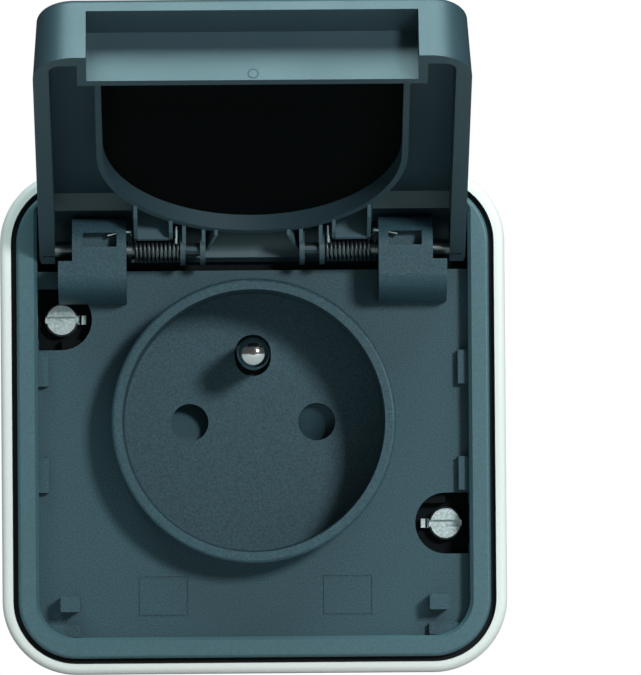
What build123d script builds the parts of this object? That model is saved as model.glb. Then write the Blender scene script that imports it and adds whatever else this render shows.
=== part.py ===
from build123d import *
from math import asin, cos, degrees, radians, sin, sqrt
import os

# A splash-proof wall socket with an earth pin, in a surface box, with its lid open.
# All sizes are in millimetres. X runs to the right, Z up, and the front faces -Y.
# The origin is on the wall plane, straight behind the centre of the socket.

# Surface box
box_size = 75.0
box_depth = 43.2
box_corner = 11.0
box_back_wall = 2.0
box_side_wall = 3.6
box_rim_wall = 1.6
box_edge_round = 1.0
wall_hole_pitch = 50.0
wall_hole_r = 2.25
wall_hole_ring_r = 4.6
wall_hole_ring_height = 1.2
entry_depth = 19.0
entry_r = 10.2
entry_flange_r = 12.0
entry_flange_depth = 1.4

# Front plate and its border
plate_depth = 40.0
plate_thickness = 2.4
border_size = 70.2
border_corner = 8.6
border_opening = 64.0
border_opening_corner = 5.5
border_hinge_corner = 1.0
border_height = 3.7
border_edge = 0.5
seal_thickness = 1.0
seal_lip_height = 4.4
seal_clearance = 0.05

# Socket recess
pin_pitch = 19.0
pin_r = 2.4
pin_shank_r = 2.2
collar_r = 21.1
collar_height = 8.0
recess_r = 19.5
recess_depth = 15.0
recess_draft = 1.0
recess_floor = 2.0
skirt_depth = 25.0
skirt_inner_r = 19.6
contact_hole_r = 2.8
earth_offset = 10.0
earth_length = 14.0
earth_slot_width = 5.4
earth_slot_height = 6.2

# Fixing screws of the insert
screw_x = 28.5
screw_z = 15.35
screw_head_r = 2.45
screw_head_height = 1.8
screw_shank_r = 1.45
screw_length = 14.0
screw_slot_width = 1.0
screw_slot_depth = 0.9
pocket_r = 4.55
pocket_depth = 3.8
pocket_wall = 1.2
pocket_floor = 1.6
pocket_ledge_drop = 1.6
post_r = 3.5
washer_r = 2.95
washer_thickness = 0.4
washer_tab_width = 1.5
washer_tab_drop = 0.9

# Hinge
hinge_z = 25.5
hinge_height = 4.5
hinge_open_deg = 118.0
hinge_pin_r = 0.95
hinge_pin_inner_x = 7.2
hinge_pin_outer_x = 30.9
knuckle_r = 4.7
knuckle_inner_x = 18.7
knuckle_outer_x = 26.7
foot_outer_x = 28.8
foot_top_z = 23.8
foot_flat_z = 21.6
foot_low_z = 17.6
leg_slot_low_z = 25.9
leg_slot_high_z = 28.0
leg_slot_inner_x = 20.1
leg_slot_outer_x = 25.1
leg_slot_cut = 3.0
trough_low_z = 22.5
trough_depth = 3.0
trough_floor = 1.6

# Lid
lid_width = 63.2
lid_corner = 6.0
lid_inner_corner = 1.8
lid_rim_v = -1.0
lid_face_v = 9.3
lid_floor_v = 7.1
lid_draft = 3.2
lid_wall = 2.3
lid_end_u = 57.1
lid_edge_round = 0.9
tail_r = 6.35
tail_inner_r = 5.0
tail_rim_v = 1.4
tail_step_deg = 69.0
side_end_u = -2.2
side_end_v = 3.6
step_u = 4.3
grip_half_width = 23.9
grip_depth = 6.5
grip_wall = 1.3
grip_bevel = 0.5
ring_r = 22.8
ring_wall = 0.9
ring_rim_v = 1.2
pad_face_v = 3.8
lug_thickness = 0.75
lug_inner_x = 7.0
lug_outer_x = 9.95
lug_r = 2.3
box_rib_inner_x = 12.0
box_rib_outer_x = 17.0
box_rib_thickness = 0.8
box_rib_v = 2.7

# Hinge springs
spring_r = 1.62
spring_wire = 0.55
spring_turns = 11
spring_start_x = 10.9
spring_length = 6.8
spring_leg = 3.6

# Small features on the plate
tongue_thickness = 1.5
tongue_width = 5.0
tongue_height = 1.7
tongue_z = 7.9
barb_reach = 0.4
barb_height = 0.7
catch_x = 27.4
catch_z = -27.0
catch_width = 2.9
catch_length = 2.3
catch_height = 4.3
rest_x = 28.1
rest_z = -31.0
rest_width = 4.4
rest_length = 1.8
rest_height = 1.5
label_x = 13.7
label_z = -26.0
label_width = 7.5
label_height = 6.0
label_line = 0.3
label_cut = 0.15

# Contact carrier and what it holds
carrier_r = 19.45
carrier_front = 27.3
carrier_rear = 12.0
carrier_flange = 1.6
carrier_front_wall = 1.5
cover_thickness = 1.8
fit = 0.06
running = 0.3
pocket_width = 8.0
pocket_height = 7.0
clip_thickness = 0.8
clip_width = 5.0
clip_base = 1.2
clip_spread = 3.0
clip_grip = 2.75
clip_mouth = 3.3
terminal_x = 9.5
terminal_z = -11.5
terminal_size = 6.0
terminal_length = 8.0
earth_terminal_x = 9.3
earth_terminal_z = 11.0
wire_hole_r = 1.6
terminal_screw_r = 1.3
terminal_head_r = 2.2
terminal_head_height = 1.6
cover_screw_r = 1.2
cover_screw_head_r = 2.2
cover_screw_boss_r = 2.5
cover_screw_places = [(0.0, -15.2), (-11.6, 11.6)]
earth_flange_r = 3.4
earth_flange_thickness = 1.2
strap_thickness = 0.8

# Shutter
shutter_open_deg = 40.0
shutter_post_r = 1.5
shutter_hub_r = 3.2
shutter_arm_low = 3.1
shutter_arm_high = 3.4
shutter_reach = 13.0
shutter_thin = 0.7
shutter_thick = 2.9
shutter_spring_r = 2.4
shutter_spring_wire = 0.4
shutter_spring_turns = 2.5
shutter_spring_well = 1.6

# Values that follow from the ones above
box_half = box_size / 2
ledge_depth = plate_depth - plate_thickness - seal_thickness
floor_depth = plate_depth + collar_height - recess_depth
floor_back = floor_depth - recess_floor
seat_depth = plate_depth - pocket_depth
pocket_back = seat_depth - pocket_floor
hinge_depth = plate_depth + hinge_height
ring_u = hinge_z
lid_half = lid_width / 2
grip_u = lid_end_u - grip_depth
end_wall_u = grip_u - grip_wall
contact_x = pin_pitch / 2
opening_half = border_opening / 2
cover_face = carrier_rear - cover_thickness


def level(depth):
    """A plane parallel to the wall, facing the front, with Z up in the sketch."""
    return Plane(origin=(0, -depth, 0), x_dir=(1, 0, 0), z_dir=(0, -1, 0))


def profile_plane(x):
    """A plane across the box: sketch x is the distance from the wall, sketch y is Z."""
    return Plane(origin=(x, 0, 0), x_dir=(0, -1, 0), z_dir=(-1, 0, 0))


open_rad = radians(hinge_open_deg)
lid_u = Vector(0, -sin(open_rad), -cos(open_rad))
lid_v = Vector(0, -cos(open_rad), sin(open_rad))
hinge_point = Vector(0, -hinge_depth, hinge_z)


def lid_level(v):
    """A plane parallel to the lid: sketch x is X, sketch y points to the hinge side."""
    return Plane(origin=hinge_point + lid_v * v, x_dir=(1, 0, 0), z_dir=lid_v)


def lid_profile(x):
    """A plane across the lid: sketch x runs from the hinge to the grip, sketch y outward."""
    return Plane(origin=hinge_point + Vector(x, 0, 0), x_dir=lid_u, z_dir=(-1, 0, 0))


def on_circle(radius, angle):
    """A point on a circle about the hinge axis, in the lid's profile plane."""
    return (radius * cos(radians(angle)), radius * sin(radians(angle)))


def write(node, name):
    """Label one finished piece and write it under its own name."""
    node.part.label = name
    export_step(node.part, f"parts/{name}.step")


def screw_place(side):
    """The two fixing screws lie opposite each other about the socket centre."""
    return (side * screw_x, -side * screw_z)


def both_sides(inner, outer):
    """Centre and width of a span that is the same on the left and on the right."""
    return [(side * (inner + outer) / 2, outer - inner) for side in (-1, 1)]


os.makedirs("parts", exist_ok=True)

# Outline of the opening in the border, rounder at the grip side than at the hinge side
with BuildSketch() as opening_outline:
    Rectangle(border_opening, border_opening)
    fillet(opening_outline.vertices().group_by(Axis.Y)[0], border_opening_corner)
    fillet(opening_outline.vertices().group_by(Axis.Y)[-1], border_hinge_corner)

# Surface box: a deep moulded cup with a thin rim, a ledge, two posts and two cable entries
with BuildPart() as surface_box:
    with BuildSketch(level(0)):
        RectangleRounded(box_size, box_size, box_corner)
    extrude(amount=box_depth)
    fillet(surface_box.faces().sort_by(Axis.Y)[0].edges(), box_edge_round)
    with BuildSketch(level(box_back_wall)):
        inner = box_size - 2 * box_side_wall
        RectangleRounded(inner, inner, box_corner - box_side_wall)
    extrude(amount=box_depth, mode=Mode.SUBTRACT)
    with BuildSketch(level(ledge_depth)):
        inner = box_size - 2 * box_rim_wall
        RectangleRounded(inner, inner, box_corner - box_rim_wall)
    extrude(amount=box_depth, mode=Mode.SUBTRACT)
    with BuildSketch(level(box_back_wall)):
        with Locations(screw_place(-1), screw_place(1)):
            Circle(post_r)
            Rectangle(2 * (box_half - box_side_wall - screw_x) + 1, 2.4)
    extrude(amount=pocket_back - box_back_wall - seal_clearance)
    with BuildSketch(level(pocket_back)):
        with Locations(screw_place(-1), screw_place(1)):
            Circle(screw_shank_r + fit)
    extrude(amount=-screw_length, mode=Mode.SUBTRACT)
    with BuildSketch(level(box_back_wall)):
        with GridLocations(wall_hole_pitch, wall_hole_pitch, 2, 2):
            Circle(wall_hole_ring_r)
    extrude(amount=wall_hole_ring_height)
    with BuildSketch(level(0)):
        with GridLocations(wall_hole_pitch, wall_hole_pitch, 2, 2):
            Circle(wall_hole_r)
    extrude(amount=2 * box_back_wall, mode=Mode.SUBTRACT)
    for side in (-1, 1):
        entry_plane = Plane(origin=(0, -entry_depth, side * box_half), z_dir=(0, 0, -side))
        with BuildSketch(entry_plane):
            Circle(entry_r)
        extrude(amount=2 * box_side_wall, mode=Mode.SUBTRACT)
        with BuildSketch(entry_plane):
            Circle(entry_flange_r + seal_clearance)
        extrude(amount=entry_flange_depth, mode=Mode.SUBTRACT)
write(surface_box, "surface_box")


def make_grommet(side):
    """A rubber cable grommet: flange, neck, inner lip and a stepped cone to cut open."""
    with BuildPart() as grommet:
        face = side * (box_half - 0.1)
        with BuildSketch(Plane.YZ):
            with BuildLine():
                Polyline(
                    (-entry_depth, face),
                    (-entry_depth + entry_flange_r, face),
                    (-entry_depth + entry_flange_r, side * (box_half - entry_flange_depth)),
                    (-entry_depth + entry_r - fit, side * (box_half - entry_flange_depth)),
                    (-entry_depth + entry_r - fit, side * (box_half - box_side_wall - 0.1)),
                    (-entry_depth + entry_r + 0.9, side * (box_half - box_side_wall - 0.1)),
                    (-entry_depth + entry_r - 1.4, side * (box_half - box_side_wall - 1.9)),
                    (-entry_depth + 5.2, side * (box_half - box_side_wall - 1.9)),
                    (-entry_depth + 4.0, side * (box_half - box_side_wall - 4.4)),
                    (-entry_depth, side * (box_half - box_side_wall - 4.4)),
                    (-entry_depth, side * (box_half - box_side_wall - 3.2)),
                    (-entry_depth + 3.0, side * (box_half - box_side_wall - 3.2)),
                    (-entry_depth + 4.4, side * (box_half - 2.6)),
                    (-entry_depth, side * (box_half - 2.6)),
                    close=True,
                )
            make_face()
        revolve(axis=Axis((0, -entry_depth, 0), (0, 0, 1)))
    return grommet


write(make_grommet(1), "cable_grommet_top")
write(make_grommet(-1), "cable_grommet_bottom")

# Box seal: a flat rubber ring under the plate with a lip that fills the gap to the rim
with BuildPart() as box_seal:
    outer = box_size - 2 * (box_rim_wall + seal_clearance)
    with BuildSketch(level(ledge_depth)):
        RectangleRounded(outer, outer, box_corner - box_rim_wall)
        inner = box_size - 2 * box_side_wall
        RectangleRounded(inner, inner, box_corner - box_side_wall, mode=Mode.SUBTRACT)
    extrude(amount=seal_thickness)
    with BuildSketch(level(ledge_depth)):
        RectangleRounded(outer, outer, box_corner - box_rim_wall)
        inner = border_size + 2 * seal_clearance
        RectangleRounded(inner, inner, border_corner, mode=Mode.SUBTRACT)
    extrude(amount=seal_thickness + seal_lip_height)
write(box_seal, "box_seal")

# Border frame: the raised edge around the front plate, held by four snap tongues
with BuildPart() as border_frame:
    with BuildSketch(level(plate_depth)):
        RectangleRounded(border_size, border_size, border_corner)
    extrude(amount=border_height)
    fillet(border_frame.faces().sort_by(Axis.Y)[0].edges(), border_edge)
    with BuildSketch(level(plate_depth)):
        add(opening_outline.sketch)
    extrude(amount=border_height, mode=Mode.SUBTRACT)
    inner_edges = border_frame.faces().sort_by(Axis.Y)[0].inner_wires()[0].edges()
    chamfer(inner_edges, border_edge)
    for side in (-1, 1):
        with BuildSketch(level(plate_depth + tongue_height - barb_height - 0.1)):
            with Locations((side * opening_half, tongue_z), (side * opening_half, -tongue_z)):
                Rectangle(2 * (barb_reach + 0.1), tongue_width + 0.4)
        extrude(amount=barb_height + 0.2, mode=Mode.SUBTRACT)
write(border_frame, "border_frame")

# Front plate: one moulding with the collar, the recess, the hinge brackets and the catches
with BuildPart() as front_plate:
    with BuildSketch(level(plate_depth - plate_thickness)):
        RectangleRounded(border_size, border_size, border_corner)
    extrude(amount=plate_thickness)

    # tray behind the hinge trough
    tray_low = trough_low_z - trough_floor
    tray_high = opening_half - 0.1
    with BuildSketch(level(plate_depth - trough_depth - trough_floor)):
        with Locations((0, (tray_low + tray_high) / 2)):
            Rectangle(border_opening, tray_high - tray_low)
        add(opening_outline.sketch, mode=Mode.INTERSECT)
    extrude(amount=trough_depth)

    # screw pockets behind the plate
    for side in (-1, 1):
        with BuildSketch(level(pocket_back)):
            with Locations(screw_place(side)):
                Circle(pocket_r + pocket_wall)
            edge_x = opening_half + pocket_wall
            with Locations((side * (edge_x + screw_x) / 2, -side * screw_z)):
                Rectangle(edge_x - screw_x, 2 * (pocket_r + pocket_wall))
            Rectangle(2 * edge_x, 2 * edge_x, mode=Mode.INTERSECT)
        extrude(amount=pocket_floor + pocket_depth)

    # collar with the cup of the recess and the skirt that takes the contact carrier
    with BuildSketch(level(skirt_depth)):
        Circle(collar_r)
    extrude(amount=plate_depth + collar_height - skirt_depth)
    rim_face = front_plate.faces().filter_by(Axis.Y).sort_by(Axis.Y)[0]
    fillet(rim_face.edges(), 0.5)
    with BuildSketch(level(plate_depth + collar_height)):
        Circle(recess_r)
    extrude(amount=-recess_depth, taper=recess_draft, mode=Mode.SUBTRACT)
    with BuildSketch(level(skirt_depth)):
        Circle(skirt_inner_r)
    extrude(amount=floor_back - skirt_depth, mode=Mode.SUBTRACT)

    # bosses for the two screws that hold the carrier
    with BuildSketch(level(floor_back)):
        with Locations(*cover_screw_places):
            Circle(cover_screw_boss_r)
    extrude(amount=carrier_front - floor_back)
    with BuildSketch(level(carrier_front)):
        with Locations(*cover_screw_places):
            Circle(cover_screw_r + fit)
    extrude(amount=floor_back - carrier_front + 0.8, mode=Mode.SUBTRACT)

    # holes for the plug pins and the slot around the earth pin
    with BuildSketch(level(floor_back)):
        with Locations((-contact_x, 0), (contact_x, 0)):
            Circle(contact_hole_r)
        with Locations((0, earth_offset)):
            SlotOverall(earth_slot_height, earth_slot_width, rotation=90)
    extrude(amount=recess_floor, mode=Mode.SUBTRACT)

    # trough that lets the tail of the lid swing behind the hinge
    with BuildSketch(level(plate_depth)):
        with Locations((0, (trough_low_z + opening_half) / 2)):
            Rectangle(border_opening, opening_half - trough_low_z)
        add(opening_outline.sketch, mode=Mode.INTERSECT)
    extrude(amount=-trough_depth, mode=Mode.SUBTRACT)

    # hinge brackets: a foot that curves down to the plate, and a round knuckle
    for middle, span in both_sides(knuckle_inner_x, foot_outer_x):
        with BuildSketch(profile_plane(middle + span / 2)):
            with BuildLine():
                foot_base = plate_depth - trough_depth
                foot_front = hinge_depth + knuckle_r
                Line((foot_base, foot_low_z), (plate_depth, foot_low_z))
                foot_curve = EllipticalCenterArc(
                    (plate_depth, foot_flat_z),
                    foot_front - plate_depth,
                    foot_flat_z - foot_low_z,
                    start_angle=270,
                    arc_size=90,
                )
                Line((foot_front, foot_flat_z), (foot_front, foot_top_z))
                Line((foot_front, foot_top_z), (foot_base, foot_top_z))
                Line((foot_base, foot_top_z), (foot_base, foot_low_z))
            make_face()
        extrude(amount=span)
    for middle, span in both_sides(knuckle_inner_x, knuckle_outer_x):
        with BuildSketch(profile_plane(middle + span / 2)):
            with Locations((hinge_depth, hinge_z)):
                Circle(knuckle_r)
            with Locations((hinge_depth + knuckle_r / 2, (foot_top_z + hinge_z) / 2)):
                Rectangle(knuckle_r, hinge_z - foot_top_z)
        extrude(amount=span)
    with BuildSketch(profile_plane(lid_half)):
        with Locations((hinge_depth, hinge_z)):
            Circle(hinge_pin_r + fit)
    extrude(amount=lid_width, mode=Mode.SUBTRACT)
    slot_z = (leg_slot_low_z + leg_slot_high_z) / 2
    for middle, span in both_sides(leg_slot_inner_x, leg_slot_outer_x):
        with BuildSketch(level(hinge_depth + knuckle_r)):
            with Locations((middle, slot_z)):
                Rectangle(span, leg_slot_high_z - leg_slot_low_z)
        extrude(amount=-leg_slot_cut, mode=Mode.SUBTRACT)

    # snap tongues with their barbs
    for side in (-1, 1):
        tongue_x = side * (opening_half - seal_clearance - tongue_thickness / 2)
        tongue_places = [(tongue_x, tongue_z), (tongue_x, -tongue_z)]
        with BuildSketch(level(plate_depth)):
            with Locations(*tongue_places):
                Rectangle(tongue_thickness, tongue_width)
        extrude(amount=tongue_height)
        with BuildSketch(level(plate_depth + tongue_height - barb_height)):
            with Locations(*tongue_places):
                Rectangle(tongue_thickness + 2 * barb_reach, tongue_width)
                with Locations((-side * tongue_thickness / 2, 0)):
                    Rectangle(2 * barb_reach, tongue_width, mode=Mode.SUBTRACT)
        extrude(amount=barb_height)

    # latch catches and the low blocks that the lid rests on
    with BuildSketch(level(plate_depth)):
        with Locations((-catch_x, catch_z), (catch_x, catch_z)):
            RectangleRounded(catch_width, catch_length, 0.3)
    extrude(amount=catch_height)
    with BuildSketch(level(plate_depth)):
        with Locations((-rest_x, rest_z), (rest_x, rest_z)):
            RectangleRounded(rest_width, rest_length, 0.3)
        add(opening_outline.sketch, mode=Mode.INTERSECT)
    extrude(amount=rest_height)

    # label fields: shallow engraved outlines, left blank
    with BuildSketch(level(plate_depth)):
        with Locations((-label_x, label_z), (label_x, label_z)):
            Rectangle(label_width, label_height)
            Rectangle(
                label_width - 2 * label_line, label_height - 2 * label_line, mode=Mode.SUBTRACT
            )
    extrude(amount=-label_cut, mode=Mode.SUBTRACT)

    # open the screw pockets, leave a ledge in each, and drill them
    for side in (-1, 1):
        with BuildSketch(level(plate_depth)):
            with Locations(screw_place(side)):
                Circle(pocket_r)
            edge_x = opening_half - 0.1
            with Locations((side * (edge_x + screw_x) / 2, -side * screw_z)):
                Rectangle(edge_x - screw_x, 2 * pocket_r)
        extrude(amount=-pocket_depth, mode=Mode.SUBTRACT)
        with BuildSketch(level(seat_depth)):
            with Locations(screw_place(side)):
                Circle(pocket_r)
                with Locations((-side * pocket_r / 2, side * (washer_r + pocket_r) / 2)):
                    Rectangle(pocket_r, pocket_r - washer_r - 2 * fit, mode=Mode.INTERSECT)
        extrude(amount=pocket_depth - pocket_ledge_drop)
        with BuildSketch(level(seat_depth)):
            with Locations(screw_place(side)):
                Circle(screw_shank_r + fit)
        extrude(amount=-pocket_floor, mode=Mode.SUBTRACT)
write(front_plate, "front_plate")


def make_screw(side):
    """A slotted fixing screw with a round head."""
    x, z = screw_place(side)
    under_head = seat_depth + washer_thickness
    with BuildPart() as screw:
        with BuildSketch(level(under_head)):
            with Locations((x, z)):
                Circle(screw_head_r)
        extrude(amount=screw_head_height)
        chamfer(screw.faces().sort_by(Axis.Y)[0].edges(), 0.25)
        with BuildSketch(level(under_head)):
            with Locations((x, z)):
                Circle(screw_shank_r)
        extrude(amount=-screw_length)
        with BuildSketch(level(under_head + screw_head_height)):
            with Locations((x, z)):
                Rectangle(2 * screw_head_r + 1, screw_slot_width)
        extrude(amount=-screw_slot_depth, mode=Mode.SUBTRACT)
    return screw


def make_washer(side):
    """A captive washer with one tab turned up beside the screw head."""
    x, z = screw_place(side)
    with BuildPart() as washer:
        with BuildSketch(level(seat_depth)):
            with Locations((x, z)):
                Circle(washer_r)
                Circle(screw_shank_r + fit, mode=Mode.SUBTRACT)
        extrude(amount=washer_thickness)
        with BuildSketch(level(seat_depth)):
            with Locations((x - side * (washer_r - washer_thickness / 2 + 0.1), z)):
                Rectangle(washer_thickness, washer_tab_width)
        extrude(amount=pocket_depth - washer_tab_drop)
    return washer


for side, place in ((-1, "left"), (1, "right")):
    write(make_screw(side), f"fixing_screw_{place}")
    write(make_washer(side), f"captive_washer_{place}")

# Contact carrier: a thick moulded disc with pockets for the contacts, open at the rear
with BuildPart() as contact_carrier:
    with BuildSketch(level(carrier_rear)):
        Circle(carrier_r)
    extrude(amount=carrier_front - carrier_rear)
    with BuildSketch(level(skirt_depth)):
        Circle(collar_r)
    extrude(amount=-carrier_flange)

    # post that the shutter turns on, standing in a well for its spring
    with BuildSketch(level(carrier_front)):
        Circle(shutter_spring_r + shutter_spring_wire + running)
    extrude(amount=-shutter_spring_well, mode=Mode.SUBTRACT)
    with BuildSketch(level(carrier_front - shutter_spring_well)):
        Circle(shutter_post_r)
    extrude(amount=floor_back - carrier_front + shutter_spring_well)

    # pin holes and contact pockets
    with BuildSketch(level(carrier_front)):
        with Locations((-contact_x, 0), (contact_x, 0)):
            Circle(contact_hole_r)
    extrude(amount=-carrier_front_wall, mode=Mode.SUBTRACT)
    with BuildSketch(level(carrier_rear)):
        with Locations((-contact_x, 0), (contact_x, 0)):
            Rectangle(pocket_width, pocket_height)
        for side in (-1, 1):
            with Locations((side * terminal_x, terminal_z / 2)):
                Rectangle(clip_width + 0.4, -terminal_z)
    extrude(amount=carrier_front - carrier_front_wall - carrier_rear, mode=Mode.SUBTRACT)

    # pockets for the terminals, with wire entries at the rim
    terminal_places = [
        (-terminal_x, terminal_z),
        (terminal_x, terminal_z),
        (earth_terminal_x, earth_terminal_z),
    ]
    with BuildSketch(level(carrier_rear)):
        with Locations(*terminal_places):
            Rectangle(terminal_size + 2 * fit, terminal_size + 2 * fit)
        with Locations((-terminal_x, -carrier_r), (terminal_x, -carrier_r)):
            Rectangle(2 * wire_hole_r, 2 * (carrier_r + terminal_z))
        with Locations((earth_terminal_x, carrier_r)):
            Rectangle(2 * wire_hole_r, 2 * (carrier_r - earth_terminal_z))
    extrude(amount=terminal_length, mode=Mode.SUBTRACT)

    # seat of the earth pin and the channel of its strap
    with BuildSketch(level(carrier_rear)):
        with Locations((0, earth_offset)):
            Circle(pin_shank_r + fit)
    extrude(amount=carrier_front - carrier_rear, mode=Mode.SUBTRACT)
    with BuildSketch(level(carrier_rear)):
        with Locations((0, earth_offset)):
            Circle(earth_flange_r + running)
        with Locations((earth_terminal_x / 2, earth_offset)):
            Rectangle(earth_terminal_x, clip_width + 0.4)
    extrude(amount=earth_flange_thickness + strap_thickness, mode=Mode.SUBTRACT)

    # holes for the two carrier screws
    with BuildSketch(level(carrier_rear)):
        with Locations(*cover_screw_places):
            Circle(cover_screw_r + fit)
    extrude(amount=carrier_front - carrier_rear, mode=Mode.SUBTRACT)
write(contact_carrier, "contact_carrier")

# Rear cover of the carrier, with openings over the terminal screws
with BuildPart() as rear_cover:
    with BuildSketch(level(carrier_rear)):
        Circle(carrier_r)
        with Locations(*terminal_places):
            Circle(terminal_head_r + running, mode=Mode.SUBTRACT)
        with Locations(*cover_screw_places):
            Circle(cover_screw_r + fit, mode=Mode.SUBTRACT)
    extrude(amount=-cover_thickness)
write(rear_cover, "rear_cover")

# Carrier screws: two alike, driven from the rear through the cover into the bosses
with BuildPart() as carrier_screws:
    with BuildSketch(level(cover_face)):
        with Locations(*cover_screw_places):
            Circle(cover_screw_r)
    extrude(amount=floor_back - cover_face)
    with BuildSketch(level(cover_face)):
        with Locations(*cover_screw_places):
            Circle(cover_screw_head_r)
    extrude(amount=-1.4)
    with BuildSketch(level(cover_face - 1.4)):
        with Locations(*cover_screw_places):
            Rectangle(2 * cover_screw_head_r + 1, 0.7)
    extrude(amount=0.7, mode=Mode.SUBTRACT)
write(carrier_screws, "carrier_screws")


def make_contact(side):
    """A sprung contact clip bent from one strip, with a tail down to its terminal."""
    base = carrier_rear + clip_base
    mouth = carrier_front - carrier_front_wall - running
    half = clip_thickness / 2
    with BuildPart() as contact:
        with BuildSketch(Plane.XY.offset(-clip_width / 2)):
            with BuildLine():
                Polyline(
                    (side * contact_x - clip_mouth, -mouth),
                    (side * contact_x - clip_grip - half, -(mouth - 3.5)),
                    (side * contact_x - clip_spread, -(base + half)),
                    (side * contact_x + clip_spread, -(base + half)),
                    (side * contact_x + clip_grip + half, -(mouth - 3.5)),
                    (side * contact_x + clip_mouth, -mouth),
                )
            trace(line_width=clip_thickness)
        extrude(amount=clip_width)
        tail_end = terminal_z + terminal_size / 2
        with BuildSketch(level(base)):
            with Locations((side * contact_x, tail_end / 2)):
                Rectangle(clip_width, -tail_end)
        extrude(amount=clip_thickness)
    return contact


write(make_contact(-1), "neutral_contact")
write(make_contact(1), "line_contact")

# Earth pin: a plated pin with a domed tip, on a thinner shank with a flange in the carrier
with BuildPart() as earth_pin:
    flange_face = carrier_rear + strap_thickness
    with BuildSketch(level(flange_face)):
        with Locations((0, earth_offset)):
            Circle(earth_flange_r)
    extrude(amount=earth_flange_thickness)
    with BuildSketch(level(flange_face)):
        with Locations((0, earth_offset)):
            Circle(pin_shank_r)
    extrude(amount=floor_depth - flange_face)
    with BuildSketch(level(floor_depth)):
        with Locations((0, earth_offset)):
            Circle(pin_r)
    extrude(amount=earth_length)
    fillet(earth_pin.faces().sort_by(Axis.Y)[0].edges(), 0.9 * pin_r)
write(earth_pin, "earth_pin")

# Earth strap: joins the pin to its terminal, behind the flange
with BuildPart() as earth_strap:
    with BuildSketch(level(carrier_rear)):
        strap_end = earth_terminal_x - terminal_size / 2
        with Locations((0, earth_offset)):
            Circle(clip_width / 2)
        with Locations((strap_end / 2, earth_offset)):
            Rectangle(strap_end, clip_width)
    extrude(amount=strap_thickness)
write(earth_strap, "earth_strap")


def make_terminal(place, along):
    """A brass clamp block with a cross hole for the wire and a threaded screw hole."""
    x, z = place
    with BuildPart() as terminal:
        with BuildSketch(level(carrier_rear)):
            with Locations((x, z)):
                Rectangle(terminal_size, terminal_size)
        extrude(amount=terminal_length - fit)
        chamfer(terminal.faces().sort_by(Axis.Y)[0].edges(), 0.3)
        wire_plane = Plane(origin=(x, -carrier_rear - terminal_length / 2 - 1, z), z_dir=(0, 0, along))
        with BuildSketch(wire_plane):
            Circle(wire_hole_r)
        extrude(amount=terminal_size, both=True, mode=Mode.SUBTRACT)
        with BuildSketch(level(carrier_rear)):
            with Locations((x, z)):
                Circle(terminal_screw_r + fit)
        extrude(amount=terminal_length / 2, mode=Mode.SUBTRACT)
    return terminal


write(make_terminal(terminal_places[0], 1), "neutral_terminal")
write(make_terminal(terminal_places[1], 1), "line_terminal")
write(make_terminal(terminal_places[2], 1), "earth_terminal")

# Terminal screws: three alike, reached through the rear cover
with BuildPart() as terminal_screws:
    with BuildSketch(level(carrier_rear)):
        with Locations(*terminal_places):
            Circle(terminal_screw_r)
    extrude(amount=terminal_length / 2 - wire_hole_r + 1)
    with BuildSketch(level(carrier_rear)):
        with Locations(*terminal_places):
            Circle(terminal_head_r)
    extrude(amount=-terminal_head_height)
    with BuildSketch(level(carrier_rear - terminal_head_height)):
        with Locations(*terminal_places):
            Rectangle(2 * terminal_head_r + 1, 0.7)
    extrude(amount=0.7, mode=Mode.SUBTRACT)
write(terminal_screws, "terminal_screws")

# Shutter: a hub with two ramped arms that close the contact holes
with BuildPart() as shutter:
    shutter_base = carrier_front + running
    with BuildSketch(level(shutter_base)):
        Circle(shutter_hub_r)
    extrude(amount=shutter_thick)
    for side in (-1, 1):
        with BuildSketch(profile_plane(side * shutter_reach if side > 0 else 0)):
            with BuildLine():
                Polyline(
                    (shutter_base, -side * shutter_arm_low),
                    (shutter_base + shutter_thin, -side * shutter_arm_low),
                    (shutter_base + shutter_thick, side * (shutter_arm_high - 1.2)),
                    (shutter_base + shutter_thick, side * shutter_arm_high),
                    (shutter_base, side * shutter_arm_high),
                    close=True,
                )
            make_face()
        extrude(amount=shutter_reach)
    with BuildSketch(level(shutter_base)):
        Circle(shutter_reach)
    extrude(amount=shutter_thick, mode=Mode.INTERSECT)
    with BuildSketch(level(shutter_base)):
        Circle(shutter_post_r + fit)
    extrude(amount=shutter_thick, mode=Mode.SUBTRACT)
write(shutter, "shutter")


def coil(centre, direction, radius, wire, pitch, turns):
    """A coil of round wire about an axis."""
    with BuildPart() as spring:
        with BuildLine():
            turns_line = Helix(
                pitch=pitch,
                height=pitch * turns,
                radius=radius,
                center=centre,
                direction=direction,
            )
        with BuildSketch(Plane(origin=turns_line @ 0, z_dir=turns_line % 0)):
            RegularPolygon(wire / 2, 8)
        sweep(path=turns_line, is_frenet=True)
    return spring


# Return spring of the shutter, in its well around the post
spring_pitch = (shutter_spring_well - shutter_spring_wire - 0.2) / shutter_spring_turns
shutter_spring = coil(
    (0, -(carrier_front - shutter_spring_well + shutter_spring_wire / 2 + 0.05), 0),
    (0, -1, 0),
    shutter_spring_r,
    shutter_spring_wire,
    spring_pitch,
    shutter_spring_turns,
)
write(shutter_spring, "shutter_spring")

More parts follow.
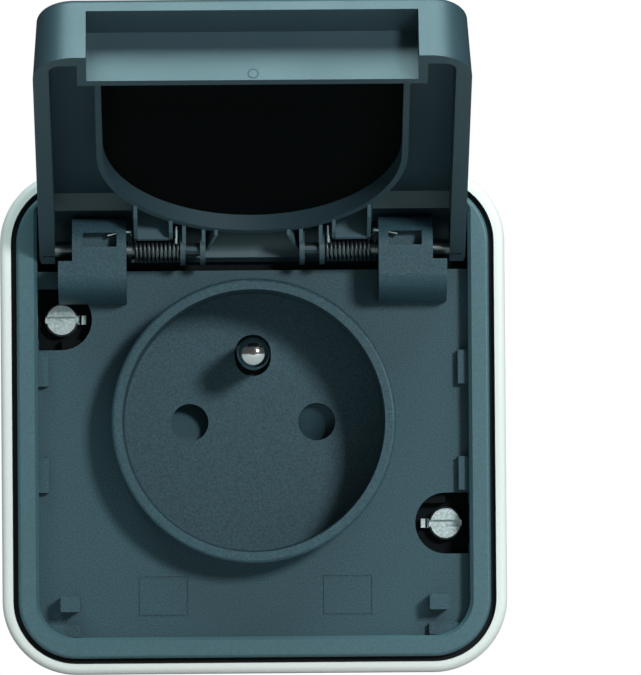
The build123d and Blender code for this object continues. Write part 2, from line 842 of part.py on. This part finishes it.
# Space inside the lid, taken out of the shell below
with BuildPart() as lid_space:
    inner_half = lid_half - lid_wall
    inner_end = lid_end_u - lid_wall
    with BuildSketch(lid_level(lid_rim_v - 1)):
        with Locations((0, -(inner_end - 10) / 2)):
            RectangleRounded(2 * inner_half, inner_end + 10, lid_inner_corner)
        with Locations((0, -end_wall_u - 10)):
            Rectangle(2 * (grip_half_width + grip_wall), 20, mode=Mode.SUBTRACT)
    extrude(amount=lid_floor_v - lid_rim_v + 1)
    rim_angle = 180 - degrees(asin(tail_rim_v / tail_inner_r))
    with BuildSketch(lid_profile(inner_half)):
        with BuildLine():
            Polyline(
                (lid_end_u, lid_rim_v - 1),
                (lid_end_u, lid_floor_v),
                (step_u + 0.4, lid_floor_v),
                (3.2, tail_inner_r),
                (0, tail_inner_r),
            )
            ThreePointArc(
                (0, tail_inner_r),
                on_circle(tail_inner_r, 130),
                on_circle(tail_inner_r, rim_angle),
            )
            Polyline(
                on_circle(tail_inner_r, rim_angle),
                (-tail_r - 1, tail_rim_v),
                (-tail_r - 1, lid_rim_v - 1),
                (lid_end_u, lid_rim_v - 1),
            )
        make_face()
    extrude(amount=2 * inner_half, mode=Mode.INTERSECT)

# Lid: a drafted shell with a round tail at the hinge, a grip lip and inner ribs
with BuildPart() as lid:
    with BuildSketch(lid_level(lid_rim_v)):
        with Locations((0, -(lid_end_u - tail_r) / 2)):
            RectangleRounded(lid_width, lid_end_u + tail_r, lid_corner)
    extrude(amount=lid_face_v - lid_rim_v, taper=lid_draft)
    fillet(lid.faces().filter_by(lambda f: abs(f.normal_at().dot(lid_v)) > 0.99)
           .sort_by(lambda f: -f.center().dot(lid_v))[0].edges(), lid_edge_round)
    add(lid_space.part, mode=Mode.SUBTRACT)

    # finger grip cut into the free end
    with BuildSketch(lid_level(lid_rim_v - 1)):
        with Locations((0, -(grip_u + 10))):
            Rectangle(2 * grip_half_width, 20)
    extrude(amount=lid_floor_v - lid_rim_v + 1, mode=Mode.SUBTRACT)

    # ring wall that closes around the collar, open towards the grip
    with BuildSketch(lid_level(ring_rim_v)):
        with Locations((0, -ring_u)):
            Circle(ring_r)
        with Locations((0, -(ring_u + end_wall_u) / 2)):
            Rectangle(2 * ring_r, end_wall_u - ring_u)
        with Locations((0, -ring_u)):
            Circle(ring_r - ring_wall, mode=Mode.SUBTRACT)
        with Locations((0, -(ring_u + end_wall_u) / 2)):
            Rectangle(2 * (ring_r - ring_wall), end_wall_u - ring_u, mode=Mode.SUBTRACT)
    extrude(amount=lid_floor_v - ring_rim_v + 0.2)

    # lugs that hold the inner ends of the hinge pins
    for inner_x in (lug_inner_x, lug_outer_x):
        for middle, span in both_sides(inner_x, inner_x + lug_thickness):
            with BuildSketch(lid_profile(middle + span / 2)):
                Circle(lug_r)
                with Locations((0, (tail_inner_r + 0.3) / 2)):
                    Rectangle(2 * lug_r, tail_inner_r + 0.3)
            extrude(amount=span)

    # box ribs beside the lugs, over the springs
    for inner_x in (box_rib_inner_x, box_rib_outer_x):
        for middle, span in both_sides(inner_x, inner_x + box_rib_thickness):
            ring_meet = ring_u - sqrt(ring_r ** 2 - inner_x ** 2) + 0.4
            with BuildSketch(lid_profile(middle + span / 2)):
                with BuildLine():
                    Polyline(
                        (side_end_u, box_rib_v),
                        (ring_meet, box_rib_v),
                        (ring_meet, lid_floor_v + 0.2),
                        (step_u + 0.6, lid_floor_v + 0.2),
                        (3.0, tail_inner_r + 0.3),
                        (side_end_u, tail_inner_r - 0.3),
                        close=True,
                    )
                make_face()
            extrude(amount=span)
    for middle, span in both_sides(box_rib_inner_x, box_rib_outer_x + box_rib_thickness):
        with BuildSketch(lid_profile(middle + span / 2)):
            with Locations((side_end_u + box_rib_thickness / 2, (box_rib_v + tail_inner_r) / 2 - 0.1)):
                Rectangle(box_rib_thickness, tail_inner_r - box_rib_v)
        extrude(amount=span)

    # outer profile: a round tail about the hinge, then a step up to the flat face
    with BuildSketch(lid_profile(lid_half + 1)):
        with BuildLine():
            tail_start = on_circle(tail_r, tail_step_deg)
            tail_end = on_circle(tail_r, 189)
            Polyline(
                tail_end,
                (tail_end[0], -2 * lug_r),
                (lid_end_u + 1, -2 * lug_r),
                (lid_end_u + 1, lid_face_v + 1),
                (step_u + 0.5, lid_face_v + 1),
                tail_start,
            )
            ThreePointArc(tail_start, on_circle(tail_r, 130), tail_end)
        make_face()
    extrude(amount=lid_width + 2, mode=Mode.INTERSECT)

    # the side walls end in front of the hinge corners
    with BuildSketch(lid_profile(lid_half + 1)):
        with Locations(((side_end_u - 10) / 2 - 1.2, (side_end_v - 10) / 2)):
            Rectangle(10 + side_end_u + 2.4, side_end_v + 10)
    extrude(amount=lid_width + 2, mode=Mode.SUBTRACT)

    # tail wall between the corners comes back down to its own rim
    with BuildSketch(lid_profile(knuckle_inner_x - 0.2)):
        with BuildLine():
            low = 180 - degrees(asin(tail_rim_v / tail_r))
            high = 180 - degrees(asin((side_end_v + 0.4) / tail_r))
            low_in = 180 - degrees(asin(tail_rim_v / tail_inner_r))
            high_in = 180 - degrees(asin((side_end_v + 0.4) / tail_inner_r))
            ThreePointArc(
                on_circle(tail_r, low), on_circle(tail_r, (low + high) / 2), on_circle(tail_r, high)
            )
            Line(on_circle(tail_r, high), on_circle(tail_inner_r, high_in))
            ThreePointArc(
                on_circle(tail_inner_r, high_in),
                on_circle(tail_inner_r, (low_in + high_in) / 2),
                on_circle(tail_inner_r, low_in),
            )
            Line(on_circle(tail_inner_r, low_in), on_circle(tail_r, low))
        make_face()
    extrude(amount=2 * (knuckle_inner_x - 0.2))

    # holes for the hinge pins, blind in the side walls
    with BuildSketch(lid_profile(hinge_pin_outer_x + 0.1)):
        Circle(hinge_pin_r + fit)
    extrude(amount=2 * (hinge_pin_outer_x + 0.1), mode=Mode.SUBTRACT)
write(lid, "lid")

# Lid seal: a soft pad inside the ring wall that closes on the collar
with BuildPart() as lid_seal:
    with BuildSketch(lid_level(pad_face_v)):
        pad_r = ring_r - ring_wall - seal_clearance
        pad_end = end_wall_u - seal_clearance
        with Locations((0, -ring_u)):
            Circle(pad_r)
        with Locations((0, -(ring_u + pad_end) / 2)):
            Rectangle(2 * pad_r, pad_end - ring_u)
    extrude(amount=lid_floor_v - pad_face_v)
    add(lid_space.part, mode=Mode.INTERSECT)
write(lid_seal, "lid_seal")


def make_hinge_pin(side):
    """A short steel pin through the side wall, the knuckle, the spring and the lugs."""
    start = side * hinge_pin_inner_x
    length = hinge_pin_outer_x - hinge_pin_inner_x
    with BuildPart() as hinge_pin:
        with BuildSketch(Plane(origin=(start, -hinge_depth, hinge_z), z_dir=(side, 0, 0))):
            Circle(hinge_pin_r)
        extrude(amount=length)
        chamfer(hinge_pin.faces().filter_by(Axis.X).edges(), 0.2)
    return hinge_pin


def make_hinge_spring(side):
    """A torsion spring around the hinge pin that closes the lid."""
    pitch = spring_length / spring_turns
    start = Vector(side * spring_start_x, -hinge_depth, hinge_z)
    return coil(start, (side, 0, 0), spring_r, spring_wire, pitch, spring_turns)


for side, place in ((-1, "left"), (1, "right")):
    write(make_hinge_pin(side), f"hinge_pin_{place}")
    write(make_hinge_spring(side), f"hinge_spring_{place}")
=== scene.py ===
import math

import bmesh
import bpy
from mathutils import Matrix, Vector


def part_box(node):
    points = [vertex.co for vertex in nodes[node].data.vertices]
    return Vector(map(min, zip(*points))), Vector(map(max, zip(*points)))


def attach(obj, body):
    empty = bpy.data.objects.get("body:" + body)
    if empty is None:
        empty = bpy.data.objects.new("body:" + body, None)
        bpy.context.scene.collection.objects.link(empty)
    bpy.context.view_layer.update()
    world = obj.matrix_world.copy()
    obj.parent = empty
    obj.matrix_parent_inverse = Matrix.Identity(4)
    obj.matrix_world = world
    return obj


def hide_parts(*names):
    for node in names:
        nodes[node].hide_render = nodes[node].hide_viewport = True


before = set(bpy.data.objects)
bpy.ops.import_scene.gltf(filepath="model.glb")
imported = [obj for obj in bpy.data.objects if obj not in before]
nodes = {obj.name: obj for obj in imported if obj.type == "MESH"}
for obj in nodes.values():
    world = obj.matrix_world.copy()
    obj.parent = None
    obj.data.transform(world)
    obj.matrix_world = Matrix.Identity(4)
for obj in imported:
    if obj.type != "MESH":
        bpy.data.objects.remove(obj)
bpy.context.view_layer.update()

MM = 0.001

# Places in the row frame, in metres
box_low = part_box("surface_box")[0]
border_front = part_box("border_frame")[0].y
floor_level = box_low.z - 0.2 * MM
PLATE_FRONT = -40.0 * MM
COLLAR_RADIUS = 20.5 * MM

# The open lid, in millimetres: its hinge, its two directions, its ring wall and its inner floor
HINGE = Vector((0.0, -44.5, 25.5))
LID_U = Vector((0.0, -0.8829, 0.4695))
LID_V = Vector((0.0, 0.4695, 0.8829))
RING_CENTRE = 25.5
RING_RADIUS = 22.8
RING_SINK = 0.4
LID_FLOOR = 7.1

# Colours, linear
PLATE = (0.031, 0.072, 0.092)
BORDER = (0.048, 0.108, 0.130)
LID = (0.022, 0.048, 0.062)
BOX = (0.77, 0.80, 0.77)
RUBBER = (0.006, 0.008, 0.010)
PAD = (0.0015, 0.0025, 0.0025)
GROMMET = (0.42, 0.44, 0.44)
CARRIER = (0.022, 0.026, 0.030)
ZINC = (0.50, 0.60, 0.61)
# Painted shade: the springs' coils get a darker steel than the bright legs of the same wire
SHADED_SPRING = (0.13, 0.16, 0.17)
PIN = (0.20, 0.23, 0.24)
CHROME = (0.86, 0.87, 0.88)
BRASS = (0.78, 0.58, 0.29)
# Painted shade: the near-black painted into the plate's screw pockets and hinge trough
PAINTED_WELL_SHADE = (0.002, 0.003, 0.004, 1.0)
FLOOR_GREY = (0.4, 0.4, 0.4, 1.0)
WHITE = (1.0, 1.0, 1.0, 1.0)
COOL_TINT = (0.76, 0.96, 1.0, 1.0)

# Grain, in features a metre
MOULD_GRAIN = 4200.0
DRIFT_GRAIN = 90.0
RUBBER_GRAIN = 2600.0

# Where the noise of a colour starts and ends its drift, and how strongly surfaces shine; the
# plate's wells shine less, as part of their painted shade
RAMP_SPAN = (0.3, 0.7)
PLATE_SHEEN = 0.45
SHADED_WELL_SHEEN = 0.10


def new_material(name):
    """A node material, its tree and its shader."""
    material = bpy.data.materials.new(name)
    material.use_nodes = True
    tree = material.node_tree
    shader = tree.nodes["Principled BSDF"]
    return material, tree, shader


def noise_texture(tree, scale, stretch=None, **values):
    """Noise in the row frame, whose scale is in features a metre, stretched where asked."""
    place = tree.nodes.new("ShaderNodeTexCoord").outputs["Object"]
    if stretch is not None:
        mapping = tree.nodes.new("ShaderNodeMapping")
        mapping.inputs["Scale"].default_value = stretch
        tree.links.new(place, mapping.inputs["Vector"])
        place = mapping.outputs["Vector"]
    texture = tree.nodes.new("ShaderNodeTexNoise")
    tree.links.new(place, texture.inputs["Vector"])
    texture.inputs["Scale"].default_value = scale
    for key, value in values.items():
        texture.inputs[key].default_value = value
    return texture.outputs["Fac"]


def remap(tree, source, low, high, start=0.0, end=1.0):
    """A value carried from the span start to end over to the span low to high."""
    span = tree.nodes.new("ShaderNodeMapRange")
    span.inputs["From Min"].default_value = start
    span.inputs["From Max"].default_value = end
    span.inputs["To Min"].default_value = low
    span.inputs["To Max"].default_value = high
    tree.links.new(source, span.inputs["Value"])
    return span.outputs["Result"]


def calculate(tree, operation, first, second):
    """A math node over two values, each a socket or a number."""
    node = tree.nodes.new("ShaderNodeMath")
    node.operation = operation
    for socket, value in zip(node.inputs, (first, second)):
        if isinstance(value, float):
            socket.default_value = value
        else:
            tree.links.new(value, socket)
    return node.outputs["Value"]


def shade_of(colour, factor):
    """A colour made darker or lighter, with full alpha."""
    return tuple(min(1.0, channel * factor) for channel in colour) + (1.0,)


def vary_colour(tree, shader, source, colour, low, high):
    """Colour that drifts between a darker and a lighter shade of one colour."""
    ramp = tree.nodes.new("ShaderNodeValToRGB")
    for element, position, factor in zip(ramp.color_ramp.elements, RAMP_SPAN, (low, high)):
        element.position = position
        element.color = shade_of(colour, factor)
    tree.links.new(source, ramp.inputs["Fac"])
    tree.links.new(ramp.outputs["Color"], shader.inputs["Base Color"])


def vary_roughness(tree, shader, source, low, high):
    """Roughness that drifts between two values."""
    tree.links.new(remap(tree, source, low, high), shader.inputs["Roughness"])


def add_bump(tree, shader, source, distance, strength, under=None):
    """Surface relief of a real height, on top of an earlier one."""
    bump = tree.nodes.new("ShaderNodeBump")
    bump.inputs["Distance"].default_value = distance
    bump.inputs["Strength"].default_value = strength
    tree.links.new(source, bump.inputs["Height"])
    if under is not None:
        tree.links.new(under, bump.inputs["Normal"])
    tree.links.new(bump.outputs["Normal"], shader.inputs["Normal"])
    return bump.outputs["Normal"]


def moulded_plastic(name, colour, roughness, speckle=0.16, relief=0.016 * MM, sheen=0.5):
    """Plastic from a spark-eroded mould: fine speckle, small relief, soft large drift."""
    drift_height = 0.010 * MM
    material, tree, shader = new_material(name)
    fine = noise_texture(tree, MOULD_GRAIN, Detail=3.0, Roughness=0.6)
    vary_colour(tree, shader, fine, colour, 1.0 - speckle, 1.0 + speckle)
    drift = noise_texture(tree, DRIFT_GRAIN, Detail=2.0)
    vary_roughness(tree, shader, drift, roughness - 0.05, roughness + 0.06)
    waves = add_bump(tree, shader, drift, drift_height, 0.5)
    add_bump(tree, shader, fine, relief, 0.8, waves)
    shader.inputs["Specular IOR Level"].default_value = sheen
    shader.inputs["Specular Tint"].default_value = COOL_TINT
    return material


def distance_from_axis(tree, split):
    """How far a point lies from the socket's axis, out of its three coordinates."""
    across = tree.nodes.new("ShaderNodeCombineXYZ")
    tree.links.new(split.outputs["X"], across.inputs["X"])
    tree.links.new(split.outputs["Z"], across.inputs["Y"])
    radius = tree.nodes.new("ShaderNodeVectorMath")
    radius.operation = "LENGTH"
    tree.links.new(across.outputs["Vector"], radius.inputs[0])
    return radius.outputs["Value"]


def paint_well_shade(material):
    """Painted shade: behind the plate's face the screw pockets and the hinge trough are painted
    nearly black, and shine less, where shadow falls in them.
    """
    start, end = PLATE_FRONT + 0.3 * MM, PLATE_FRONT + 1.2 * MM
    tree = material.node_tree
    shader = tree.nodes["Principled BSDF"]
    colour = shader.inputs["Base Color"].links[0].from_socket
    coordinates = tree.nodes.new("ShaderNodeTexCoord")
    split = tree.nodes.new("ShaderNodeSeparateXYZ")
    tree.links.new(coordinates.outputs["Object"], split.inputs["Vector"])
    # The painted shade covers what lies deeper than the plate's face, outside the collar
    depth = remap(tree, split.outputs["Y"], 0.0, 1.0, start, end)
    outside = calculate(tree, "GREATER_THAN", distance_from_axis(tree, split), COLLAR_RADIUS)
    painted_shade_share = calculate(tree, "MULTIPLY", depth, outside)
    mix = tree.nodes.new("ShaderNodeMix")
    mix.data_type = "RGBA"
    tree.links.new(painted_shade_share, mix.inputs["Factor"])
    tree.links.new(colour, mix.inputs["A"])
    mix.inputs["B"].default_value = PAINTED_WELL_SHADE
    tree.links.new(mix.outputs["Result"], shader.inputs["Base Color"])
    sheen = remap(tree, painted_shade_share, PLATE_SHEEN, SHADED_WELL_SHEEN)
    tree.links.new(sheen, shader.inputs["Specular IOR Level"])
    return material


def rubber(name, colour, roughness=0.7, sheen=0.2):
    """Dull rubber with a soft mottled skin."""
    skin_height = 0.02 * MM
    material, tree, shader = new_material(name)
    shader.inputs["Specular IOR Level"].default_value = sheen
    skin = noise_texture(tree, RUBBER_GRAIN, Detail=4.0)
    vary_colour(tree, shader, skin, colour, 0.75, 1.3)
    vary_roughness(tree, shader, skin, roughness - 0.08, roughness + 0.1)
    add_bump(tree, shader, skin, skin_height, 0.6)
    return material


def metal(name, colour, roughness, grain, spread=0.12, relief=0.006 * MM, stretch=None):
    """Plated or drawn metal with grain in its colour, roughness and relief."""
    material, tree, shader = new_material(name)
    shader.inputs["Metallic"].default_value = 1.0
    noise = noise_texture(tree, grain, stretch, Detail=3.0)
    vary_colour(tree, shader, noise, colour, 1.0 - spread, 1.0 + spread)
    vary_roughness(tree, shader, noise, roughness - 0.06, roughness + 0.1)
    add_bump(tree, shader, noise, relief, 0.7)
    return material


def dress_nodes():
    """Every carried-over CAD node gets its material."""
    looks = {
        moulded_plastic("box_plastic", BOX, 0.42, speckle=0.02, relief=0.006 * MM):
            ["surface_box"],
        # The plate's material carries painted shade in its screw pockets and hinge trough
        paint_well_shade(moulded_plastic("plate_plastic", PLATE, 0.50, speckle=0.42,
                                     relief=0.026 * MM, sheen=PLATE_SHEEN)):
            ["front_plate"],
        moulded_plastic("border_plastic", BORDER, 0.46, speckle=0.18, sheen=0.7):
            ["border_frame"],
        moulded_plastic("lid_plastic", LID, 0.46, speckle=0.10, relief=0.010 * MM, sheen=1.0):
            ["lid"],
        rubber("seal_rubber", RUBBER):
            ["box_seal"],
        rubber("pad_rubber", PAD, 0.85, sheen=0.06):
            ["lid_seal"],
        rubber("grommet_rubber", GROMMET, 0.65):
            ["cable_grommet_top", "cable_grommet_bottom"],
        moulded_plastic("carrier_plastic", CARRIER, 0.5):
            ["contact_carrier", "rear_cover"],
        moulded_plastic("shutter_plastic", PLATE, 0.45):
            ["shutter"],
        metal("zinc_plating", ZINC, 0.38, grain=2600.0, spread=0.22, relief=0.02 * MM):
            ["fixing_screw_left", "fixing_screw_right", "captive_washer_left",
             "captive_washer_right", "carrier_screws", "terminal_screws"],
        metal("pin_steel", PIN, 0.35, grain=900.0, stretch=(0.05, 1.0, 1.0)):
            ["hinge_pin_left", "hinge_pin_right"],
        # The springs' coils get the darker steel as painted shade
        metal("spring_steel", SHADED_SPRING, 0.28, grain=1500.0):
            ["hinge_spring_left", "hinge_spring_right", "shutter_spring"],
        metal("pin_plating", CHROME, 0.09, grain=600.0, spread=0.03, relief=0.002 * MM):
            ["earth_pin"],
        metal("contact_brass", BRASS, 0.3, grain=1200.0):
            ["line_contact", "neutral_contact", "earth_strap", "line_terminal",
             "neutral_terminal", "earth_terminal"],
    }
    for material, names in looks.items():
        for name in names:
            mesh = nodes[name].data
            mesh.materials.clear()
            mesh.materials.append(material)


def add_mesh(name, verts, faces, material, body, broken_edges=True):
    """A mesh in millimetres of the row frame, riding on a body, with its edges softly broken."""
    mesh = bpy.data.meshes.new(name)
    mesh.from_pydata([tuple(v * MM) for v in verts], [], faces)
    shape = bmesh.new()
    shape.from_mesh(mesh)
    bmesh.ops.recalc_face_normals(shape, faces=shape.faces)
    shape.to_mesh(mesh)
    shape.free()
    mesh.materials.append(material)
    piece = bpy.data.objects.new(name, mesh)
    bpy.context.collection.objects.link(piece)
    if broken_edges:
        bevel = piece.modifiers.new("edges", "BEVEL")
        bevel.width = 0.06 * MM
        bevel.segments = 2
        bevel.limit_method = "ANGLE"
    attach(piece, body)
    return piece


def circle_outline(radius, centre=(0.0, 0.0), count=48):
    """Points around a circle."""
    turns = [2 * math.pi * i / count for i in range(count)]
    return [(centre[0] + radius * math.cos(t), centre[1] + radius * math.sin(t)) for t in turns]


def rectangle(low_a, high_a, low_b, high_b):
    """The four corners of a rectangle."""
    return [(low_a, low_b), (high_a, low_b), (high_a, high_b), (low_a, high_b)]


def prism(outline, low, high, place):
    """Corners and faces of an outline drawn out from low to high."""
    count = len(outline)
    verts = [place(a, b, end) for end in (low, high) for a, b in outline]
    faces = [tuple(range(count)), tuple(range(2 * count - 1, count - 1, -1))]
    faces += [(i, (i + 1) % count, (i + 1) % count + count, i + count) for i in range(count)]
    return verts, faces


def join(parts):
    """Several sets of corners and faces as one."""
    verts, faces = [], []
    for more_verts, more_faces in parts:
        start = len(verts)
        verts += more_verts
        faces += [tuple(i + start for i in face) for face in more_faces]
    return verts, faces


def in_lid(u, v, x):
    """A point of the open lid: u away from the hinge, v through its depth."""
    return HINGE + LID_U * u + LID_V * v + Vector((x, 0.0, 0.0))


def ring_meet(x):
    """How far from the hinge a rib at x runs into the ring wall."""
    return RING_CENTRE - math.sqrt(RING_RADIUS ** 2 - x ** 2) + RING_SINK


# The lid's ribs, in millimetres: across the lid (X), away from the hinge (U), through its depth (V)
RIB_THICKNESS = 0.55
LUG_RIBS_X = (6.95, 9.85)
LUG_MEETS_X = (7.4, 10.3)
BOX_RIBS_X = (11.8, 17.0)
BOX_MEETS_X = (12.0, 17.2)
BAR_U = (0.4, 1.2)
BAR_V = (-0.85, -0.35)
WALL_U = (2.3, 2.85)
WALL_V = (0.3, 5.2)
FOOT_U = 4.3


def lug_rib(meets_x):
    """The side outline of a rib from the ring wall to past the hinge."""
    meet = ring_meet(meets_x)
    return [(meet, 1.7), (BAR_U[1], BAR_V[0]), (-0.5, 0.2), (-2.0, 4.6), (3.2, 5.3),
            (FOOT_U, LID_FLOOR), (meet, LID_FLOOR)]


def box_rib(meets_x):
    """The side outline of a rib from the ring wall to the cross wall by the spring."""
    meet = ring_meet(meets_x)
    return [(WALL_U[0], WALL_V[0]), (meet - 2.0, WALL_V[0]), (meet, 1.2), (meet, LID_FLOOR),
            (FOOT_U, LID_FLOOR), (WALL_U[0], WALL_V[1])]


def rib_pair(outline_at, meets_x, ribs_x, cross_piece):
    """Two ribs and the piece across them, each as an outline with its two ends in X."""
    ribs = [(outline_at(meet), x, x + RIB_THICKNESS) for meet, x in zip(meets_x, ribs_x)]
    return ribs + [(cross_piece, ribs_x[0], ribs_x[1] + RIB_THICKNESS)]


def make_lid_brace(side, place, material):
    """A slanted brace from beside the hinge to the ring wall."""
    low_x, low_u, width, lean = 6.5, -0.9, 0.5, 1.4
    front, back = 0.3, 5.0
    high_u = ring_meet(5.3)
    outline = [(low_x, low_u), (low_x + width, low_u), (low_x + width - lean, high_u),
               (low_x - lean, high_u)]
    corners = prism(outline, front, back, lambda x, u, v: in_lid(u, v, side * x))
    add_mesh(f"lid_brace_{place}", *corners, material, "lid")


def make_lid_ribs(material):
    """Stiffening ribs inside the lid between the ring wall and the hinge, and their braces."""
    pieces = rib_pair(lug_rib, LUG_MEETS_X, LUG_RIBS_X, rectangle(*BAR_U, *BAR_V))
    pieces += rib_pair(box_rib, BOX_MEETS_X, BOX_RIBS_X, rectangle(*WALL_U, *WALL_V))
    for side, place in ((-1, "left"), (1, "right")):
        parts = [prism(outline, side * low, side * high, in_lid) for outline, low, high in pieces]
        add_mesh(f"lid_ribs_{place}", *join(parts), material, "lid")
        make_lid_brace(side, place, material)


def make_mould_mark(material):
    """A small round mark left by the mould on the wall of the finger grip."""
    count = 40
    centre_x, grip_wall, centre_v = 0.1, 50.6, 0.1
    sunk, raised = -0.02, 0.07
    profile = ((0.62, sunk), (0.66, raised), (0.80, raised), (0.84, sunk))
    verts, faces = [], []
    for radius, lift in profile:
        for i in range(count):
            angle = 2 * math.pi * i / count
            v = centre_v + radius * math.sin(angle)
            verts.append(in_lid(grip_wall + lift, v, centre_x + radius * math.cos(angle)))
    for ring in range(len(profile)):
        start, above = ring * count, (ring + 1) % len(profile) * count
        for i in range(count):
            j = (i + 1) % count
            faces.append((start + i, start + j, above + j, above + i))
    add_mesh("mould_mark", verts, faces, material, "lid", broken_edges=False)


def on_wall(x, z, depth):
    """A point at a depth in front of the wall."""
    return Vector((x, -depth, z))


def make_washers(material):
    """The captive washers: a disc hidden under the head, and a bright tab bent up beside it."""
    screw_x, screw_z, disc_radius = 28.5, 15.35, 2.3
    seat, top, thick = 36.2, 37.2, 0.4
    tab_inner, tab_reach, tab_half_width = 2.65, 3.7, 0.7
    for side, place in ((-1, "left"), (1, "right")):
        x, z = side * screw_x, -side * screw_z
        low, high = z - tab_half_width, z + tab_half_width
        riser, end = x - side * tab_inner, x - side * tab_reach
        corner = riser - side * thick
        parts = [
            prism(circle_outline(disc_radius, (x, z)), seat, seat + thick, on_wall),
            prism(rectangle(x, corner, low, high), seat, seat + thick, on_wall),
            prism(rectangle(riser, corner, low, high), seat, top + thick, on_wall),
            prism(rectangle(riser, end, low, high), top, top + thick, on_wall),
        ]
        washer = add_mesh(f"washer_{place}", *join(parts), material, "base")
        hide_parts(f"captive_washer_{place}")


def rod(start, end, radius):
    """Corners and faces of a round wire between two points."""
    along = (end - start).normalized()
    across = along.orthogonal().normalized()
    other = along.cross(across)
    return prism(circle_outline(radius, count=14), 0.0, (end - start).length,
                 lambda a, b, c: start + across * a + other * b + along * c)


def bent_wire(points, radius):
    """A wire along several points, in straight stretches."""
    return join([rod(Vector(a), Vector(b), radius) for a, b in zip(points, points[1:])])


def make_spring_legs(material):
    """The bright ends of the hinge springs: one into the knuckle, one against the lid."""
    wire_radius = 0.27
    outer = [(17.6, -44.7, 27.1), (18.1, -47.0, 28.2), (19.3, -47.3, 28.1), (21.5, -47.4, 27.6)]
    inner = [(11.3, -46.2, 26.4), (11.25, -46.6, 28.9)]
    for side, place in ((-1, "left"), (1, "right")):
        for name, path, body in (("leg", outer, "base"), ("end", inner, "lid")):
            wire = bent_wire([(side * x, y, z) for x, y, z in path], wire_radius)
            leg = add_mesh(f"spring_{name}_{place}", *wire, material, body, broken_edges=False)


# The lamps: where they point and how far off they stand, in metres
LAMP_TARGET = Vector((0.0, -0.05, 0.01))
LAMP_DISTANCE = 1.0
WORLD_LIGHT = 0.06


def area_lamp(name, direction, size, power, colour=(1.0, 1.0, 1.0)):
    """A soft lamp of a width and height, in a direction from the object, turned to face it."""
    data = bpy.data.lights.new(name, "AREA")
    data.shape = "RECTANGLE"
    data.size = size[0]
    data.size_y = size[1]
    data.energy = power
    data.color = colour
    lamp = bpy.data.objects.new(name, data)
    bpy.context.collection.objects.link(lamp)
    offset = Vector(direction).normalized() * LAMP_DISTANCE
    lamp.location = LAMP_TARGET + offset
    lamp.rotation_mode = "QUATERNION"
    lamp.rotation_quaternion = offset.to_track_quat("Z", "Y")


def light_scene():
    """A small key from the upper right front, a wide overhead softbox and a faint world."""
    area_lamp("key", direction=(0.49, -1.0, 0.32), size=(0.16, 0.16), power=6.2)
    area_lamp("overhead", direction=(0.06, -0.43, 0.90), size=(1.30, 0.42), power=12.5,
              colour=(0.80, 1.0, 1.0))
    light_world()


def light_world():
    """A faint white world, at full white for camera and transmission rays."""
    world = bpy.data.worlds.new("studio")
    bpy.context.scene.world = world
    world.use_nodes = True
    tree = world.node_tree
    background = tree.nodes["Background"]
    rays = tree.nodes.new("ShaderNodeLightPath").outputs
    seen = calculate(tree, "MAXIMUM", rays["Is Camera Ray"], rays["Is Transmission Ray"])
    tree.links.new(remap(tree, seen, WORLD_LIGHT, 1.0), background.inputs["Strength"])
    background.inputs["Color"].default_value = WHITE


def make_floor():
    """A wide floor under the box, plain white to the camera, so that it shows no shadow."""
    half = 6.0
    mesh = bpy.data.meshes.new("floor")
    corners = rectangle(-half, half, -half, half)
    mesh.from_pydata([(x, y, floor_level) for x, y in corners], [], [(0, 1, 2, 3)])
    floor = bpy.data.objects.new("floor", mesh)
    bpy.context.collection.objects.link(floor)
    material, tree, shader = new_material("pale_floor")
    shader.inputs["Base Color"].default_value = FLOOR_GREY
    shader.inputs["Roughness"].default_value = 0.9
    shader.inputs["Specular IOR Level"].default_value = 0.1
    glow = tree.nodes.new("ShaderNodeEmission")
    path = tree.nodes.new("ShaderNodeLightPath")
    mix = tree.nodes.new("ShaderNodeMixShader")
    tree.links.new(path.outputs["Is Camera Ray"], mix.inputs["Fac"])
    tree.links.new(shader.outputs["BSDF"], mix.inputs[1])
    tree.links.new(glow.outputs["Emission"], mix.inputs[2])
    output = tree.nodes["Material Output"]
    tree.links.new(mix.outputs["Shader"], output.inputs["Surface"])
    mesh.materials.append(material)


# The photograph: its size and its marks, in pixels, and its scale at the border's front
FRAME_WIDTH = 641
FRAME_HEIGHT = 675
SOCKET_PIXEL = (253.0, 420.5)
FOOT_PIXEL = (210.0, 560.0)
PIXELS_PER_METRE = 6730.0

# The camera: its distance and its clip planes in metres, its roll, and its sensor in millimetres
CAMERA_DISTANCE = 1.4
CLIP_START = 0.01
CLIP_END = 100.0
CAMERA_ROLL = math.radians(0.45)
SENSOR = 36.0


def on_border_plane(pixel):
    """The point of the border's front plane that lies at a pixel of the photograph."""
    x = (pixel[0] - SOCKET_PIXEL[0]) / PIXELS_PER_METRE
    z = (SOCKET_PIXEL[1] - pixel[1]) / PIXELS_PER_METRE
    return Vector((x, border_front, z))


def make_camera():
    """A long lens in front of the socket, a little below and left of its centre."""
    data = bpy.data.cameras.new("camera")
    camera = bpy.data.objects.new("camera", data)
    bpy.context.collection.objects.link(camera)
    target = on_border_plane((FRAME_WIDTH / 2, FRAME_HEIGHT / 2))
    camera.location = on_border_plane(FOOT_PIXEL) - Vector((0.0, CAMERA_DISTANCE, 0.0))
    towards = target - camera.location
    turn = Matrix.Rotation(CAMERA_ROLL, 4, towards.normalized())
    camera.rotation_mode = "QUATERNION"
    camera.rotation_quaternion = turn.to_quaternion() @ towards.to_track_quat("-Z", "Y")
    data.sensor_width = SENSOR
    data.lens = SENSOR * towards.length * PIXELS_PER_METRE / FRAME_HEIGHT
    data.clip_start = CLIP_START
    data.clip_end = CLIP_END
    bpy.context.scene.camera = camera


dress_nodes()
lid_plastic = bpy.data.materials["lid_plastic"]
make_lid_ribs(lid_plastic)
make_mould_mark(lid_plastic)
make_washers(bpy.data.materials["zinc_plating"])
# The spring legs keep the bright steel; the coils' darker colour is painted shade
make_spring_legs(metal("spring_leg_steel", ZINC, 0.25, grain=1500.0))
light_scene()
make_floor()
make_camera()
bpy.context.scene.view_settings.view_transform = "Standard"
